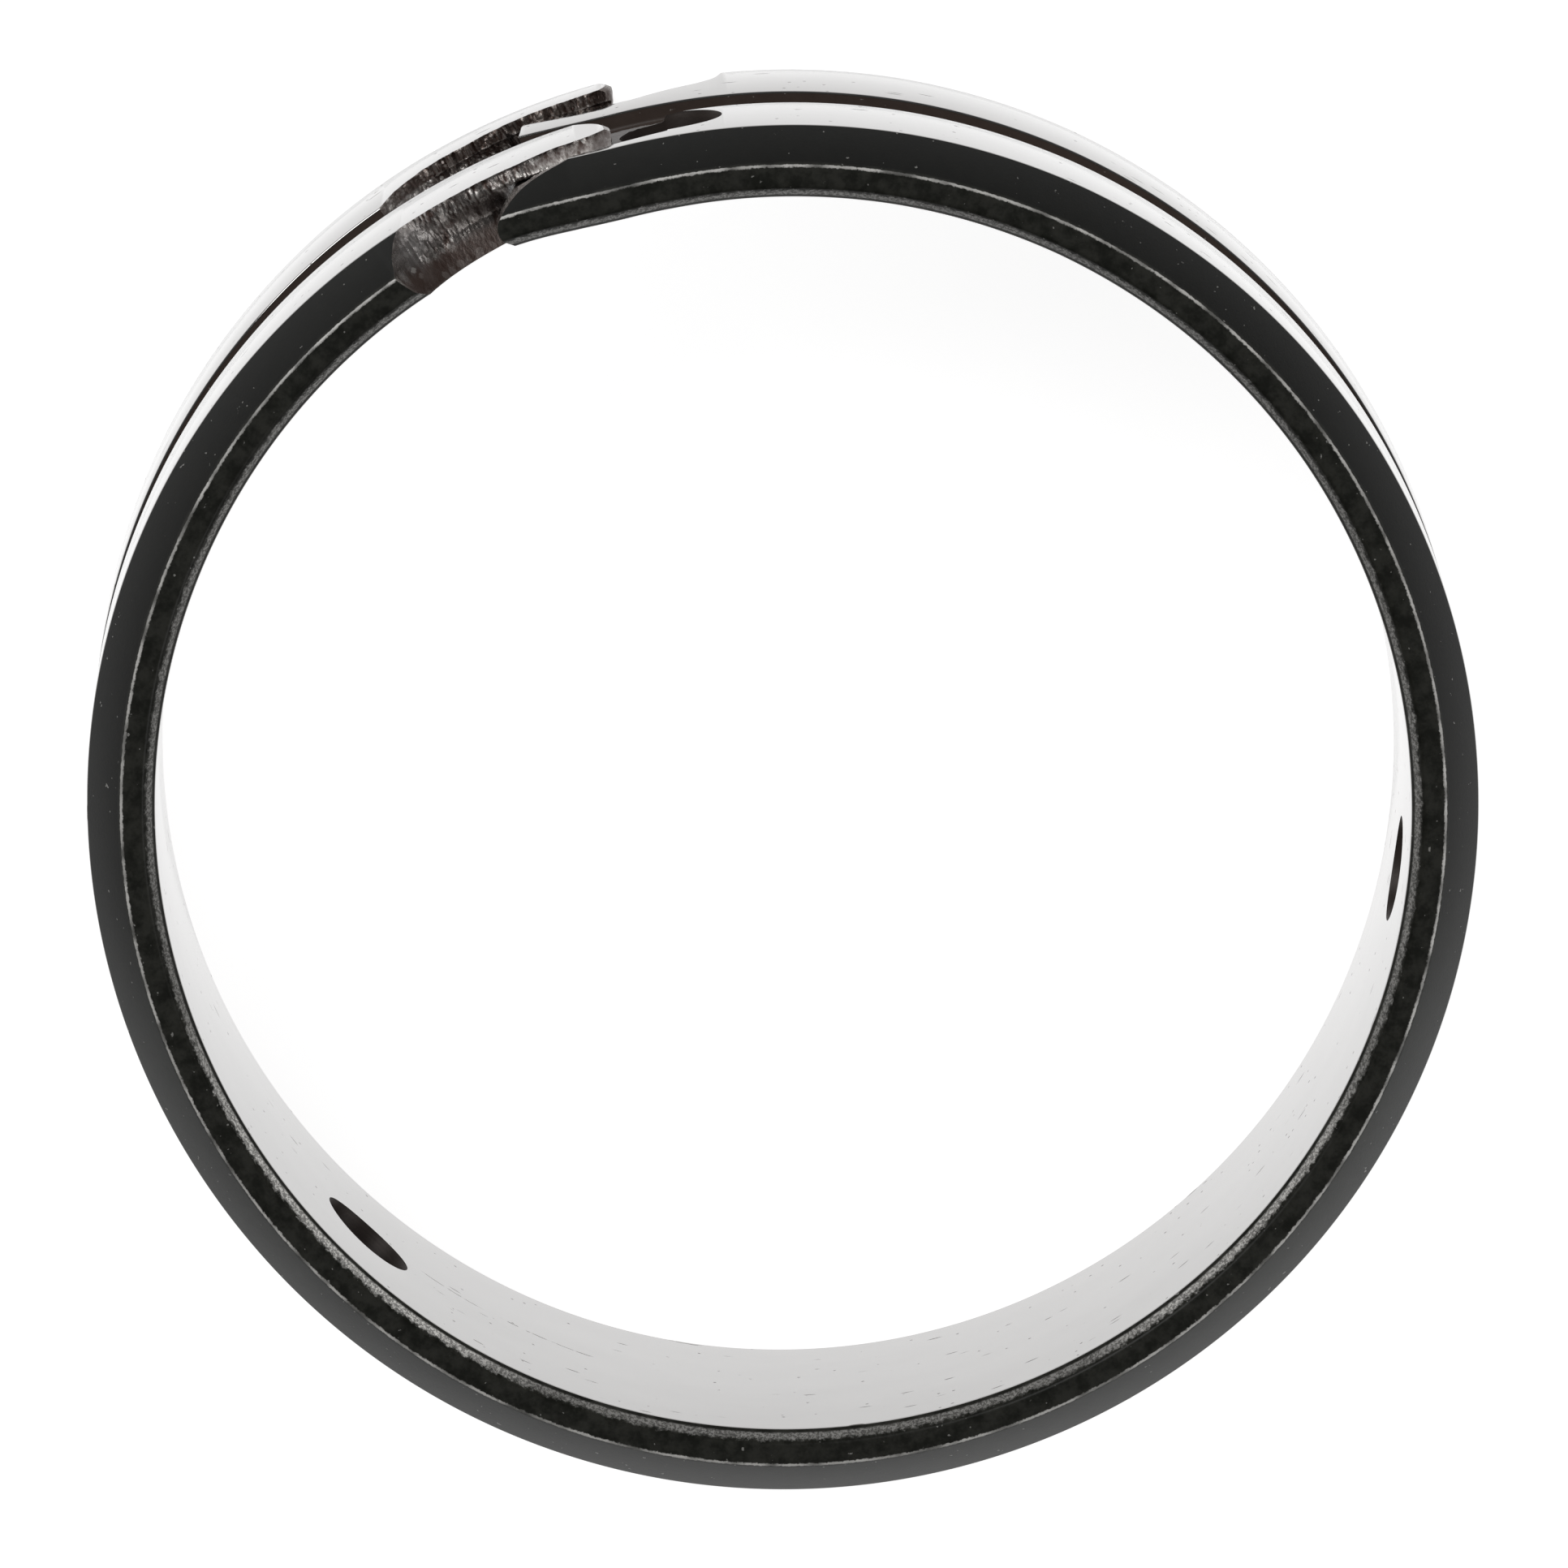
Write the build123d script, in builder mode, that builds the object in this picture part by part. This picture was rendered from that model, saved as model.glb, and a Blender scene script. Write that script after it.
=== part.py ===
"""Thin hardened steel ring, grooved outside and drilled, broken through at one place.

The ring lies flat on its lower face. +Z is its axis and the origin is on the axis, at the
lower face. Angles run anticlockwise from +X as seen from above. The break is near 110 degrees.
The ring is one springy piece of steel. Its flexing is carried by three arcs: a back arc
opposite the break, and an arm on each side that swings about the end of the back arc.
All sizes are in millimetres and degrees.
"""

import os
from math import cos, radians, sin

from build123d import *

# Ring section: bevelled outside at the top and inside at the bottom, other edges rounded
outer_radius = 36.0
bore_radius = 32.5
width = 22.0
bevel_radial = 1.8
bevel_axial = 2.2
edge_round = 0.5
groove_width = 3.9
groove_depth = 1.0

wall = outer_radius - bore_radius
mid_radius = (outer_radius + bore_radius) / 2
band_top = width - bevel_axial
groove_height = (edge_round + band_top) / 2
groove_top = groove_height + groove_width / 2
groove_bottom = groove_height - groove_width / 2

# Radial oil holes: the first is beside the break, the others are in the back arc
hole_radius = 2.7
break_hole_angle = 99.5
break_hole_height = 14.85
left_hole_angle = 227.4
right_hole_angle = 352.3
back_hole_height = 12.6

# Where the arcs meet, and the clearance between them
left_seam = 219.0
right_seam = 361.0
seam_gap = 0.25

# The left end: two thin fingers, one each side of the groove
break_angle = 112.0
finger_end = 104.1
finger_thickness = 0.8
finger_root = 116.5
finger_root_inside = 121.0
rear_finger_tip_height = 3.0
rear_finger_root_height = 5.7
front_break_start = 124.0
front_break_foot = 121.5
rear_break_start = 124.2
rear_break_foot = 121.2
pocket_radius = 34.3
spring_out = 0.75

# The right end: a slanting rear edge, and a front tongue
slant_start = 95.0
slant_end = 111.0
slant_step_height = 2.5
tongue_shoulder = 108.7
tongue_end = 116.4
tongue_tip_radius = 33.4
tongue_thickness = 1.9
main_end = 112.5
bed_start = 104.0
bed_clearance = 0.35

os.makedirs("parts", exist_ok=True)


def section_plane(angle):
    """Plane through the axis: local x points outwards at the angle, local y is +Z."""
    turn = radians(angle)
    return Plane(origin=(0, 0, 0), x_dir=(cos(turn), sin(turn), 0), z_dir=(sin(turn), -cos(turn), 0))


def wall_plane(angle, radius, height=0):
    """Plane square to the radius at the angle: local x is anticlockwise, local y is +Z."""
    turn = radians(angle)
    return Plane(
        origin=(radius * cos(turn), radius * sin(turn), height),
        x_dir=(-sin(turn), cos(turn), 0),
        z_dir=(cos(turn), sin(turn), 0),
    )


def point_at(angle, radius):
    """Point in the ring's plane at the angle and radius."""
    return (radius * cos(radians(angle)), radius * sin(radians(angle)))


def along(angle):
    """Distance along the break's wall plane of an angle on the outside of the ring."""
    return outer_radius * sin(radians(angle - break_angle))


def seam_angle(radius):
    """Angle that half the seam gap takes at the radius."""
    return seam_gap / 2 / radians(1) / radius


def ring_section(angle):
    """The ring's section, standing in the plane at the angle."""
    with BuildSketch(section_plane(angle)) as section:
        with BuildLine():
            Polyline(
                (bore_radius + bevel_radial, 0),
                (outer_radius, 0),
                (outer_radius, groove_bottom),
                (outer_radius - groove_depth, groove_bottom),
                (outer_radius - groove_depth, groove_top),
                (outer_radius, groove_top),
                (outer_radius, band_top),
                (outer_radius - bevel_radial, width),
                (bore_radius, width),
                (bore_radius, bevel_axial),
                close=True,
            )
        make_face()
        bore_top_corner = section.vertices().group_by(Axis.Y)[-1].sort_by(Axis.X)[0]
        outer_bottom_corner = section.vertices().group_by(Axis.Y)[0].sort_by(Axis.X)[-1]
        fillet([bore_top_corner, outer_bottom_corner], radius=edge_round)
    return section.sketch


def oil_hole(angle, height):
    """Round outline of a radial hole, on a plane just inside the bore."""
    with BuildSketch(wall_plane(angle, bore_radius - 1, height)) as outline:
        Circle(hole_radius)
    return outline.sketch


def finger_core():
    """Everything under the two thin fingers: the inner layer that broke away with them."""
    core_radius = outer_radius - finger_thickness
    deep_radius = bore_radius - 1
    past = finger_end - 4
    with BuildSketch(Plane.XY.offset(-1)) as core:
        with BuildLine():
            start = point_at(past, core_radius)
            root = point_at(finger_root, core_radius)
            ThreePointArc(start, point_at((past + finger_root) / 2, core_radius), root)
            Polyline(root, point_at(finger_root_inside, deep_radius), point_at(past, deep_radius), start)
        make_face()
    return core.sketch


def front_break():
    """What is gone from the front of the left arm: the bevel and the front face."""
    past = along(finger_end - 4)
    with BuildSketch(wall_plane(break_angle, bore_radius - 3)) as outline:
        with BuildLine():
            Polyline(
                (along(front_break_start + 1), width + 1),
                (along(front_break_start), width),
                (along(front_break_foot), band_top),
                (past, band_top),
                (past, width + 1),
                close=True,
            )
        make_face()
    return outline.sketch


def finger_gap():
    """The gap between the fingers, and what lies past their ends."""
    tip = along(finger_end)
    past = along(finger_end - 4)
    reach = along(finger_root)
    with BuildSketch(wall_plane(break_angle, bore_radius - 3)) as outline:
        with BuildLine():
            Polyline(
                (tip, groove_top),
                (reach, groove_top),
                (reach, rear_finger_root_height - 0.5),
                (tip, rear_finger_tip_height),
                close=True,
            )
        make_face()
        with BuildLine():
            Polyline((past, -1), (tip, -1), (tip, width + 1), (past, width + 1), close=True)
        make_face()
    return outline.sketch


def groove_pocket():
    """The shallow break behind the groove, which the gap between the fingers runs out of."""
    with BuildSketch(wall_plane(break_angle, pocket_radius)) as outline:
        with BuildLine():
            Polyline(
                (along(finger_root - 1), groove_bottom),
                (along(rear_break_start), groove_bottom),
                (along(rear_break_foot), rear_finger_root_height),
                (along(finger_root - 1), rear_finger_root_height - 0.5),
                close=True,
            )
        make_face()
    return outline.sketch


def rear_slant():
    """The slanting piece gone from the rear of the right arm."""
    past = along(tongue_end + 4)
    with BuildSketch(wall_plane(break_angle, bore_radius - 3)) as outline:
        with BuildLine():
            Polyline(
                (along(slant_start), -1),
                (along(slant_start), slant_step_height),
                (along((slant_start + slant_end) / 2), (slant_step_height + groove_bottom) / 2),
                (along(slant_end), groove_bottom),
                (past, groove_bottom),
                (past, -1),
                close=True,
            )
        make_face()
    return outline.sketch


def tongue_under():
    """What is gone behind the tongue that the right arm's front face ends in."""
    start = along(main_end)
    past = along(tongue_end + 4)
    under = width - tongue_thickness
    with BuildSketch(wall_plane(break_angle, bore_radius - 3)) as outline:
        with BuildLine():
            Polyline((start, -1), (start, under - 1), (start + 1, under), (past, under), (past, -1), close=True)
        make_face()
    return outline.sketch


def tongue_outline():
    """What is gone from around the tongue, seen from above: it narrows to a rounded tip."""
    shoulder = point_at(tongue_shoulder, outer_radius + 0.2)
    tip = point_at(tongue_end, tongue_tip_radius)
    inside = point_at(tongue_end - 0.9, bore_radius - 0.1)
    with BuildSketch(Plane.XY.offset(width - tongue_thickness - 0.5)) as outline:
        with BuildLine():
            Spline(shoulder, point_at(113.0, 35.1), tip, inside)
            Polyline(
                inside,
                point_at(tongue_end + 4, bore_radius - 1),
                point_at(tongue_end + 4, outer_radius + 2),
                point_at(tongue_shoulder, outer_radius + 2),
                shoulder,
            )
        make_face()
    return outline.sketch


def finger_bed():
    """The outer layer gone from the right arm, where the front finger of the left arm lies."""
    lift = radians(spring_out) * mid_radius * sin(radians(left_seam - finger_end))
    bed_radius = outer_radius - finger_thickness + lift - bed_clearance
    with BuildSketch(section_plane(bed_start)) as outline:
        with BuildLine():
            Polyline(
                (bed_radius, groove_top - bed_clearance),
                (outer_radius + 1, groove_top - bed_clearance),
                (outer_radius + 1, band_top + bed_clearance),
                (bed_radius, band_top + bed_clearance),
                close=True,
            )
        make_face()
    return outline.sketch


def make_back_arc():
    """Back arc of the ring, opposite the break, with two of the oil holes."""
    trim = seam_angle(mid_radius)
    with BuildPart() as ring_back:
        revolve(ring_section(left_seam + trim), Axis.Z, right_seam - left_seam - 2 * trim)
        for angle in (left_hole_angle, right_hole_angle):
            extrude(oil_hole(angle, back_hole_height), amount=wall + 2, mode=Mode.SUBTRACT)
    ring_back.part.label = "ring_back"
    return ring_back.part


def make_left_arm():
    """Left arm: it ends in two thin fingers that lie over the end of the right arm."""
    trim = seam_angle(mid_radius)
    with BuildPart() as left_arm:
        revolve(ring_section(finger_end - 2), Axis.Z, left_seam - trim - finger_end + 2)
        extrude(finger_core(), amount=width + 2, mode=Mode.SUBTRACT)
        extrude(front_break(), amount=wall + 6, mode=Mode.SUBTRACT)
        extrude(finger_gap(), amount=wall + 6, mode=Mode.SUBTRACT)
        extrude(groove_pocket(), amount=wall, mode=Mode.SUBTRACT)
    pivot = Axis((*point_at(left_seam, mid_radius), 0), (0, 0, 1))
    sprung = left_arm.part.rotate(pivot, spring_out)
    sprung.label = "left_arm"
    return sprung


def make_right_arm():
    """Right arm: the third oil hole is near its end, which is a short front tongue."""
    trim = seam_angle(mid_radius)
    with BuildPart() as right_arm:
        revolve(ring_section(right_seam + trim), Axis.Z, 360 + tongue_end + 1 - right_seam - trim)
        extrude(oil_hole(break_hole_angle, break_hole_height), amount=wall + 2, mode=Mode.SUBTRACT)
        extrude(rear_slant(), amount=wall + 6, mode=Mode.SUBTRACT)
        extrude(tongue_under(), amount=wall + 6, mode=Mode.SUBTRACT)
        extrude(tongue_outline(), amount=tongue_thickness + 1, mode=Mode.SUBTRACT)
        revolve(finger_bed(), Axis.Z, tongue_end - bed_start + 2, mode=Mode.SUBTRACT)
    right_arm.part.label = "right_arm"
    return right_arm.part


for piece in (make_back_arc(), make_left_arm(), make_right_arm()):
    export_step(piece, f"parts/{piece.label}.step")
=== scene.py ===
import math

import bmesh
import bpy
import numpy as np
from mathutils import Matrix, Vector


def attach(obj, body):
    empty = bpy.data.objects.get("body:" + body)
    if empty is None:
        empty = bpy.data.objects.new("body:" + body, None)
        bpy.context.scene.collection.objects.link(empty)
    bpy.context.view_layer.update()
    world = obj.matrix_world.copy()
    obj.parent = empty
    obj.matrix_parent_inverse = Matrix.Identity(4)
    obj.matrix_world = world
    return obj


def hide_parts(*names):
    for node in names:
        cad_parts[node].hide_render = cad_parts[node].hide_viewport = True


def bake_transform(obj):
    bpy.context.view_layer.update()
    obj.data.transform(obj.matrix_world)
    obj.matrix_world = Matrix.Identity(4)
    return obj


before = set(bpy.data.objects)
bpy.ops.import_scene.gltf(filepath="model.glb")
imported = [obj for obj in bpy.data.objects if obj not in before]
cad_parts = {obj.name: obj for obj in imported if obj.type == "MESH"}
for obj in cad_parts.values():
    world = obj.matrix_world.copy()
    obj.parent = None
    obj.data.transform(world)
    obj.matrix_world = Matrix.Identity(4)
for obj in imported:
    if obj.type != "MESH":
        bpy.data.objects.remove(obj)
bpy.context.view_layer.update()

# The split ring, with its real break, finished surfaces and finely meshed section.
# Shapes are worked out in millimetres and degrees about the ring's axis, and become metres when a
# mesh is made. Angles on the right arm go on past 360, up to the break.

MM = 0.001

# Ring section: as in the CAD part, apart from the bore and its rounded front edge
OUTER = 36.0
BORE = 32.42
WIDTH = 22.0
BEVEL_RADIAL = 1.8
BEVEL_AXIAL = 2.2
EDGE_ROUND = 0.5
BORE_EDGE_RADIAL = 0.62
BORE_EDGE_AXIAL = 0.9
GROOVE_WIDTH = 3.9
GROOVE_DEPTH = 1.0
BAND_TOP = WIDTH - BEVEL_AXIAL
GROOVE_MIDDLE = (EDGE_ROUND + BAND_TOP) / 2
GROOVE_TOP = GROOVE_MIDDLE + GROOVE_WIDTH / 2
GROOVE_BOTTOM = GROOVE_MIDDLE - GROOVE_WIDTH / 2
GROOVE_FLOOR = OUTER - GROOVE_DEPTH
CORNER = OUTER - BEVEL_RADIAL
MID_RADIUS = (OUTER + BORE) / 2

# Radial oil holes: (angle, height)
HOLE_RADIUS = 2.7
BREAK_HOLE = (99.5, 14.85)
LEFT_HOLE = (227.4, 12.6)
RIGHT_HOLE = (352.3, 12.6)

# Where the arms meet the back arc, where they end before the break is cut, and where they bend
LEFT_SEAM, RIGHT_SEAM = 262.0, 318.0
LEFT_END, RIGHT_END = 103.0, 477.5
LEFT_PIVOT, RIGHT_PIVOT = 219.0, 361.0
BEND_REACH = 14.0

# The break: the front finger's thickness, its bed on the right arm, and the left arm's spring
FINGER_SKIN = 0.85
BED_RADIUS = 35.8
LEFT_SPRING = 0.78

# How finely things are meshed
ANGLE_STEP = 0.5
TORN_STEP = 0.1
HOLE_SIDES = 96
SHARP_ANGLE = 32
JOIN_WITHIN = 0.001
SLIVER = 0.0005

# Long scratches on the bore: from and to along the ring, height at the start, and slope
SCRATCHES = ((139.5, 144.0, 10.45, 0.0), (144.6, 150.6, 10.2, 0.06), (154.6, 156.9, 2.0, 0.04))

# Material slots, in one order on every piece and cutter
POLISHED, OXIDE, FRACTURE, DRILLED = range(4)

# Floor and lights, in metres: the glow fades between two distances. A light is its name, place,
# size and power.
FLOOR_HALF = 1.5
FLOOR_GAP = 0.00002
GLOW_FADES = (0.085, 0.14)
GLOW_NEAR, GLOW_FAR = 0.9, 0.12
SKY_GREY = 0.09
LIGHTS = (
    ("key_light", (-0.5, 0.6, 0.7), 0.5, 4.5),
    ("fill_light", (0.7, -0.3, 0.5), 0.6, 2.2),
)

# Camera: its angles off the ring's axis, its distance from the front face, how much of the
# scene's width it sees at that distance, and how far its aim is from the face's centre
CAMERA_TILT, CAMERA_YAW = 10.926, -0.865
CAMERA_DISTANCE = 25.18 * OUTER
FRAME_WIDTH = 81.336
AIM_RIGHT, AIM_UP = -0.128, 2.013
SENSOR = 36.0

# Numbers that scramble a whole-number place into noise: factors, then (shift, factor) rounds
WORD = 0xFFFFFFFF
SCRAMBLE_X, SCRAMBLE_Y, SCRAMBLE_SEED = 374761393, 668265263, 974634777
SCRAMBLE_ROUNDS = ((13, 1103515245), (16, 2654435761))

# Where a curve is sampled to soften its corners
SOFTENING = (0, -0.5, -0.25, 0.25, 0.5)


# ---------------------------------------------------------------- numbers

def smooth(low, high, value):
    """0 up to low, 1 past high, and a smooth rise between them. With low above high, it falls."""
    t = np.clip((np.asarray(value, float) - low) / (high - low), 0, 1)
    return t * t * (3 - 2 * t)


def lattice(ix, iy, seed):
    """Repeatable value from -1 to 1 at each whole-number point."""
    h = (ix * SCRAMBLE_X + iy * SCRAMBLE_Y + seed * SCRAMBLE_SEED) & WORD
    for shift, factor in SCRAMBLE_ROUNDS:
        h = ((h ^ (h >> shift)) * factor) & WORD
    return (h ^ (h >> 15)).astype(float) / (WORD // 2) - 1


def noise(x, y, seed=0):
    """Smooth noise from -1 to 1, about one bump per unit."""
    x, y = np.broadcast_arrays(np.asarray(x, float), np.asarray(y, float))
    cell_x, cell_y = np.floor(x).astype(np.int64), np.floor(y).astype(np.int64)
    part_x, part_y = smooth(0, 1, x - cell_x), smooth(0, 1, y - cell_y)
    total = 0
    for dx, weight_x in ((0, 1 - part_x), (1, part_x)):
        for dy, weight_y in ((0, 1 - part_y), (1, part_y)):
            total = total + weight_x * weight_y * lattice(cell_x + dx, cell_y + dy, seed)
    return total


def rough(x, y, seed=0, octaves=4):
    """Noise summed over finer and finer bumps."""
    layers = (0.5 ** k * noise(x * 2 ** k, y * 2 ** k, seed + k) for k in range(octaves))
    return sum(layers) / 1.6


def ridged(x, y, seed=0, octaves=3):
    """Sharp crests with rounded hollows, from 0 to about 1, as on a torn steel surface."""
    layers = (noise(x * 2 ** k, y * 2 ** k, seed + k) for k in range(octaves))
    return sum(0.5 ** k * (1 - np.abs(layer)) ** 2 for k, layer in enumerate(layers)) / 1.75


def hackle(along, across, seed):
    """Torn relief: striations that run across, broken up along, in units of about 1."""
    bend = 0.35 * noise(along * 0.4, across * 0.6, seed + 7)
    coarse = ridged(along * 0.9 + bend, across * 0.35, seed)
    fine = ridged(along * 2.6 + 2 * bend, across * 0.8, seed + 20)
    grain = rough(along * 6, across * 6, seed + 40, 3)
    return 0.9 * (coarse - 0.5) + 0.45 * (fine - 0.5) + 0.16 * grain


def grid(low, high, step):
    """Evenly spaced values from low to high, about step apart."""
    return np.linspace(low, high, int(round((high - low) / step)) + 1)


def field(first, second):
    """Two arrays that hold every pair of a value from first and one from second."""
    return np.meshgrid(first, second, indexing="ij")


def curve(at, *knots):
    """Value that follows the (place, value) knots, with softened corners."""
    places, values = zip(*knots)
    return sum(np.interp(at + d, places, values) for d in SOFTENING) / len(SOFTENING)


def arc(angle):
    """Distance along the ring, at the middle of its wall."""
    return np.radians(angle) * MID_RADIUS


def place(angle, radius, height):
    """Points from angle in degrees, radius and height."""
    turn = np.radians(angle)
    radius, height, turn = np.broadcast_arrays(radius, height, turn)
    return np.stack([radius * np.cos(turn), radius * np.sin(turn), height], axis=-1)


# ---------------------------------------------------------------- meshes

def new_object(name, points, faces, slots):
    """Mesh object from points in millimetres, with a material slot number for each face."""
    mesh = bpy.data.meshes.new(name)
    mesh.from_pydata((np.asarray(points).reshape(-1, 3) * MM).tolist(), [], faces)
    for material in MATERIALS:
        mesh.materials.append(material)
    mesh.polygons.foreach_set("material_index", np.asarray(slots, np.int32))
    mesh.update()
    piece = bpy.data.objects.new(name, mesh)
    bpy.context.scene.collection.objects.link(piece)
    return piece


def fix_facing(piece):
    """Turns the faces outwards if the mesh is inside out."""
    mesh = piece.data
    mesh.calc_loop_triangles()
    corners = ([mesh.vertices[k].co for k in face.vertices] for face in mesh.loop_triangles)
    if sum(a.dot(b.cross(c)) for a, b, c in corners) < 0:
        mesh.flip_normals()
    return piece


def rounded(corners, steps=5):
    """Closed outline from (radius, height, rounding, slot after it) corners: points, and a slot
    for each edge. A rounding is polished where it meets a polished edge."""
    points, slots = [], []
    for k, (r, z, rounding, slot) in enumerate(corners):
        here = np.array([r, z])
        before = np.array(corners[k - 1][:2]) - here
        after = np.array(corners[(k + 1) % len(corners)][:2]) - here
        before, after = before / np.linalg.norm(before), after / np.linalg.norm(after)
        half = math.acos(np.clip(before @ after, -1, 1)) / 2
        reach = rounding / math.tan(half)
        middle = (before + after) / np.linalg.norm(before + after)
        centre = here + middle * rounding / math.sin(half)
        first, last = here + before * reach - centre, here + after * reach - centre
        start = math.atan2(first[1], first[0])
        sweep = (math.atan2(last[1], last[0]) - start + math.pi) % (2 * math.pi) - math.pi
        turns = [start + sweep * n / steps for n in range(steps + 1)]
        points += [centre + rounding * np.array([math.cos(t), math.sin(t)]) for t in turns]
        round_slot = POLISHED if POLISHED in (slot, corners[k - 1][3]) else OXIDE
        slots += [round_slot] * steps + [slot]
    return np.array(points), slots


def ring_outline():
    """The ring's section. Ground surfaces are polished, and the turned ones keep their dark
    oxide."""
    return rounded([
        (BORE + BEVEL_RADIAL, 0, 0.15, OXIDE),
        (OUTER, 0, EDGE_ROUND - 0.01, POLISHED),
        (OUTER, GROOVE_BOTTOM, 0.1, OXIDE),
        (GROOVE_FLOOR, GROOVE_BOTTOM, 0.3, OXIDE),
        (GROOVE_FLOOR, GROOVE_TOP, 0.3, OXIDE),
        (OUTER, GROOVE_TOP, 0.1, POLISHED),
        (OUTER, BAND_TOP, 0.15, OXIDE),
        (CORNER, WIDTH, 0.2, OXIDE),
        (BORE + BORE_EDGE_RADIAL, WIDTH, 0.3, OXIDE),
        (BORE, WIDTH - BORE_EDGE_AXIAL, 0.2, POLISHED),
        (BORE, BEVEL_AXIAL, 0.15, OXIDE),
    ])


def ring_arc(name, start, end):
    """Closed arc of the ring between two angles."""
    outline, slots = ring_outline()
    angles = grid(start, end, ANGLE_STEP)
    points = place(angles[:, None], outline[None, :, 0], outline[None, :, 1])
    n, m = len(angles), len(outline)
    faces, face_slots = [], []
    for i in range(n - 1):
        for j in range(m):
            k = (j + 1) % m
            faces.append((i * m + j, (i + 1) * m + j, (i + 1) * m + k, i * m + k))
            face_slots.append(slots[j])
    faces += [tuple(range(m)), tuple((n - 1) * m + j for j in reversed(range(m)))]
    face_slots += [OXIDE, OXIDE]
    return fix_facing(new_object(name, points, faces, face_slots))


def cutter(name, near, far, slot=FRACTURE):
    """Closed solid between two grids of points. The surfaces it cuts take its material slot."""
    n, m = near.shape[:2]
    points = np.concatenate([near.reshape(-1, 3), far.reshape(-1, 3)])
    base = n * m
    faces = []
    for i in range(n - 1):
        for j in range(m - 1):
            a, b, c, d = i * m + j, (i + 1) * m + j, (i + 1) * m + j + 1, i * m + j + 1
            faces += [(a, b, c, d), (base + d, base + c, base + b, base + a)]
    rim = [i * m for i in range(n)] + [(n - 1) * m + j for j in range(1, m)]
    rim += [i * m + m - 1 for i in range(n - 2, -1, -1)] + [j for j in range(m - 2, 0, -1)]
    for p, q in zip(rim, rim[1:] + rim[:1]):
        faces.append((q, p, base + p, base + q))
    return fix_facing(new_object(name, points, faces, [slot] * len(faces)))


def cut(piece, *cutters):
    """Takes the cutters' solids out of the piece, and deletes the cutters."""
    for tool in cutters:
        change = piece.modifiers.new("cut", "BOOLEAN")
        change.operation = "DIFFERENCE"
        change.solver = "EXACT"
        change.object = tool
        graph = bpy.context.evaluated_depsgraph_get()
        result = bpy.data.meshes.new_from_object(piece.evaluated_get(graph))
        piece.modifiers.clear()
        old = piece.data
        piece.data = result
        bpy.data.meshes.remove(old)
        bpy.data.objects.remove(tool)


def oil_hole(angle, height):
    """Cutter for a radial hole with a slight flare at each mouth."""
    # (distance from the ring's axis, how much wider than the hole)
    stations = (
        (BORE - 1.2, 0.2), (BORE - 0.02, 0.07), (BORE + 0.12, 0.0),
        (OUTER - 0.3, 0.0), (OUTER - 0.14, 0.04), (OUTER + 1.2, 0.2),
    )
    turn = math.radians(angle)
    out = np.array([math.cos(turn), math.sin(turn), 0])
    side = np.array([-math.sin(turn), math.cos(turn), 0])
    up = np.array([0, 0, 1.0])
    points, faces = [], []
    for distance, flare in stations:
        for k in range(HOLE_SIDES):
            t = 2 * math.pi * k / HOLE_SIDES
            spoke = (side * math.cos(t) + up * math.sin(t)) * (HOLE_RADIUS + flare)
            points.append(out * distance + spoke + up * height)
    last = (len(stations) - 1) * HOLE_SIDES
    for start in range(0, last, HOLE_SIDES):
        after = start + HOLE_SIDES
        for k in range(HOLE_SIDES):
            q = (k + 1) % HOLE_SIDES
            faces.append((start + k, start + q, after + q, after + k))
    faces += [tuple(reversed(range(HOLE_SIDES))), tuple(last + k for k in range(HOLE_SIDES))]
    return fix_facing(new_object("oil_hole_cutter", points, faces, [DRILLED] * len(faces)))


# ---------------------------------------------------------------- how far the ring has sprung

def back_lift(angle, _height):
    """The back arc is still round."""
    return 0 * angle


def left_lift(angle, height):
    """How far the left arm has sprung outwards. Its rear finger stands out a little further."""
    return (LEFT_SPRING * smooth(222, 126, angle)
            + 0.05 * smooth(12, 2, height) * smooth(140, 120, angle))


def right_lift(angle, _height=None):
    """How far the right arm has sprung outwards, at every height. Its tongue bends out further."""
    return curve(
        angle, (340, 0), (352, 0.02), (365, 0.08), (380, 0.19), (395, 0.3), (410, 0.37),
        (425, 0.4), (440, 0.35), (455, 0.25), (460, 0.21), (465, 0.21), (467, 0.27),
        (469.6, 0.42), (473, 0.69), (475.5, 0.86), (480, 1.2),
    )


# ---------------------------------------------------------------- the break, left arm

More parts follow.
